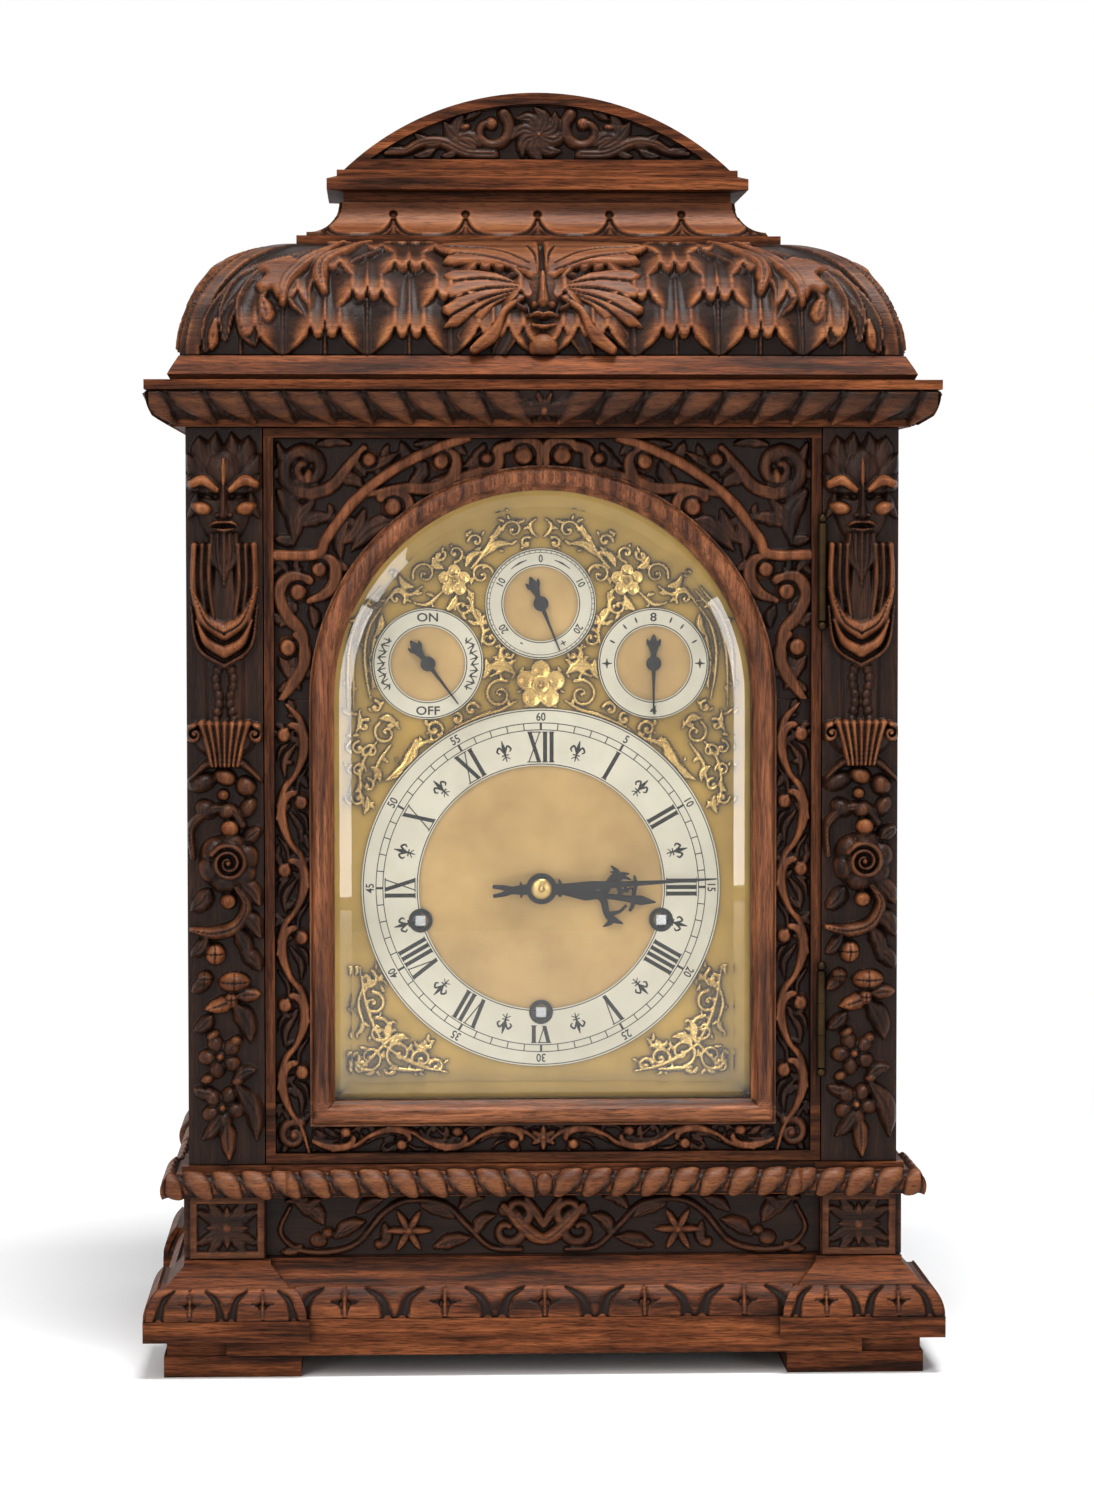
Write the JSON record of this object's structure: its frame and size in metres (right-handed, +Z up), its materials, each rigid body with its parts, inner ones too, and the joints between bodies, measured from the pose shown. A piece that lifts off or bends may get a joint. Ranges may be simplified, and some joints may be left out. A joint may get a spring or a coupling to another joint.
{
  "type": "table clock",
  "caption": "Carved oak bracket clock with an arched brass dial, a glazed front door, a cushion dome and a quarter-chiming spring movement with pendulum.",
  "frame": {"origin": "on the standing surface, under the middle of the case", "axes": "+Z up, -Y towards the viewer of the dial, +X to the viewer's right"},
  "size_m": [0.421, 0.287, 0.681],
  "materials": {
    "oak": "carved oak, dark stained and waxed",
    "brass": "lacquered brass, satin",
    "gilt_brass": "cast and gilt",
    "silvered_brass": "silvered, fine grained",
    "blued_steel": "blued steel",
    "steel": "polished steel",
    "iron": "black painted",
    "glass": "clear, bevelled"
  },
  "bodies": {
    "case": {"corner_pedestals": "oak", "feet": "oak", "base_rails": "oak", "surbase_board": "oak", "cornice": "oak", "dome_moulding": "oak", "dome": "oak", "cove_cap": "oak", "pediment": "oak", "pilasters": "oak", "side_panels": "oak", "sound_frets": "brass", "back_frame": "oak", "case_hinge_leaves": "brass", "hinge_pins": "brass", "dial_surround": "oak", "dial_plate": "brass", "chapter_ring": "silvered_brass", "subsidiary_rings": "silvered_brass", "arch_spandrel": "gilt_brass", "corner_spandrels": "gilt_brass", "front_plate": "brass", "back_plate": "brass", "plate_pillars": "brass", "seat_board": "oak", "back_cock": "brass", "gong_rods": "steel", "gong_blocks": "iron"},
    "front_door": {"door_frame": "oak", "door_bead": "oak", "door_glass": "glass", "door_hinge_leaves": "brass"},
    "rear_door": {"rear_door_frame": "oak", "rear_door_glass": "glass", "rear_door_leaves": "brass", "rear_door_knob": "brass"},
    "minute_arbor": {"minute_hand": "blued_steel", "hand_collet": "brass", "centre_wheel": "brass"},
    "hour_pipe": {"hour_hand": "blued_steel", "hour_wheel": "brass"},
    "motion_wheel": {"minute_wheel": "brass"},
    "intermediate_arbor": {"intermediate_wheel": "brass"},
    "going_drum": {"going_barrel": "brass"},
    "third_arbor": {"third_wheel": "brass"},
    "escape_arbor": {"escape_wheel": "brass"},
    "swing": {"pendulum": "brass", "pallets": "steel"},
    "strike_drum": {"strike_barrel": "brass"},
    "chime_drum": {"chime_barrel": "brass"},
    "music_drum": {"pin_drum": "brass"},
    "going_key_arbor": {"going_winding_arbor": "steel"},
    "strike_key_arbor": {"strike_winding_arbor": "steel"},
    "chime_key_arbor": {"chime_winding_arbor": "steel"},
    "chime_hammer_rack": {"chime_hammers": "steel"},
    "hour_hammer_arm": {"hour_hammer": "steel"},
    "regulator": {"regulator_hand": "blued_steel"},
    "chime_silent": {"chime_silent_hand": "blued_steel"},
    "tune_selector": {"tune_hand": "blued_steel"}
  },
  "joints": [
    {"name": "front_door_hinge", "type": "hinge", "parent": "case", "child": "front_door", "pos_m": [0.1467, -0.123, 0], "axis": [0, 0, 1], "range_deg": [0, 110]},
    {"name": "rear_door_hinge", "type": "hinge", "parent": "case", "child": "rear_door", "pos_m": [-0.1447, 0.123, 0], "axis": [0, 0, 1], "range_deg": [0, 110]},
    {"name": "minute_turn", "type": "hinge", "parent": "case", "child": "minute_arbor", "pos_m": [0, 0, 0.25298], "axis": [0, 1, 0], "continuous": true},
    {"name": "hour_turn", "type": "hinge", "parent": "case", "child": "hour_pipe", "pos_m": [0, 0, 0.25298], "axis": [0, 1, 0], "continuous": true},
    {"name": "motion_turn", "type": "hinge", "parent": "case", "child": "motion_wheel", "pos_m": [0.016, 0, 0.26766], "axis": [0, 1, 0], "continuous": true},
    {"name": "intermediate_turn", "type": "hinge", "parent": "case", "child": "intermediate_arbor", "pos_m": [0.0075, 0, 0.22133], "axis": [0, 1, 0], "continuous": true},
    {"name": "going_barrel_turn", "type": "hinge", "parent": "case", "child": "going_drum", "pos_m": [0, 0, 0.186], "axis": [0, 1, 0], "continuous": true},
    {"name": "third_turn", "type": "hinge", "parent": "case", "child": "third_arbor", "pos_m": [-0.017, 0, 0.26865], "axis": [0, 1, 0], "continuous": true},
    {"name": "escape_turn", "type": "hinge", "parent": "case", "child": "escape_arbor", "pos_m": [0, 0, 0.28357], "axis": [0, 1, 0], "continuous": true},
    {"name": "pendulum_swing", "type": "hinge", "parent": "case", "child": "swing", "pos_m": [0, 0, 0.30357], "axis": [0, 1, 0], "range_deg": [-3, 3]},
    {"name": "strike_barrel_turn", "type": "hinge", "parent": "case", "child": "strike_drum", "pos_m": [-0.0645, 0, 0.23548], "axis": [0, 1, 0], "continuous": true},
    {"name": "chime_barrel_turn", "type": "hinge", "parent": "case", "child": "chime_drum", "pos_m": [0.0645, 0, 0.23548], "axis": [0, 1, 0], "continuous": true},
    {"name": "pin_drum_turn", "type": "hinge", "parent": "case", "child": "music_drum", "pos_m": [0.0855, 0, 0.27199], "axis": [0, 1, 0], "continuous": true},
    {"name": "going_winding", "type": "hinge", "parent": "case", "child": "going_key_arbor", "pos_m": [0, 0, 0.186], "axis": [0, 1, 0], "continuous": true},
    {"name": "strike_winding", "type": "hinge", "parent": "case", "child": "strike_key_arbor", "pos_m": [-0.0645, 0, 0.23548], "axis": [0, 1, 0], "continuous": true},
    {"name": "chime_winding", "type": "hinge", "parent": "case", "child": "chime_key_arbor", "pos_m": [0.0645, 0, 0.23548], "axis": [0, 1, 0], "continuous": true},
    {"name": "chime_hammer_lift", "type": "hinge", "parent": "case", "child": "chime_hammer_rack", "pos_m": [0.103, 0, 0.26299], "axis": [0, 1, 0], "range_deg": [-15, 2], "stiffness_Nm_per_rad": 0.06},
    {"name": "hour_hammer_lift", "type": "hinge", "parent": "case", "child": "hour_hammer_arm", "pos_m": [-0.103, 0, 0.26299], "axis": [0, 1, 0], "range_deg": [-2, 15], "stiffness_Nm_per_rad": 0.02},
    {"name": "regulator_turn", "type": "hinge", "parent": "case", "child": "regulator", "pos_m": [0, 0, 0.40498], "axis": [0, 1, 0], "range_deg": [-300, 0]},
    {"name": "chime_silent_turn", "type": "hinge", "parent": "case", "child": "chime_silent", "pos_m": [-0.0603, 0, 0.37298], "axis": [0, 1, 0], "range_deg": [-143, 37]},
    {"name": "tune_turn", "type": "hinge", "parent": "case", "child": "tune_selector", "pos_m": [0.0603, 0, 0.37298], "axis": [0, 1, 0], "range_deg": [-180, 0]}
  ],
  "couplings": [
    {"joint": "hour_turn", "follows": "minute_turn", "ratio": 0.083333},
    {"joint": "motion_turn", "follows": "minute_turn", "ratio": -1},
    {"joint": "intermediate_turn", "follows": "minute_turn", "ratio": -0.125},
    {"joint": "going_barrel_turn", "follows": "minute_turn", "ratio": 0.017857},
    {"joint": "third_turn", "follows": "minute_turn", "ratio": -10.5},
    {"joint": "escape_turn", "follows": "minute_turn", "ratio": 147},
    {"joint": "pin_drum_turn", "follows": "chime_barrel_turn", "ratio": -3}
  ]
}
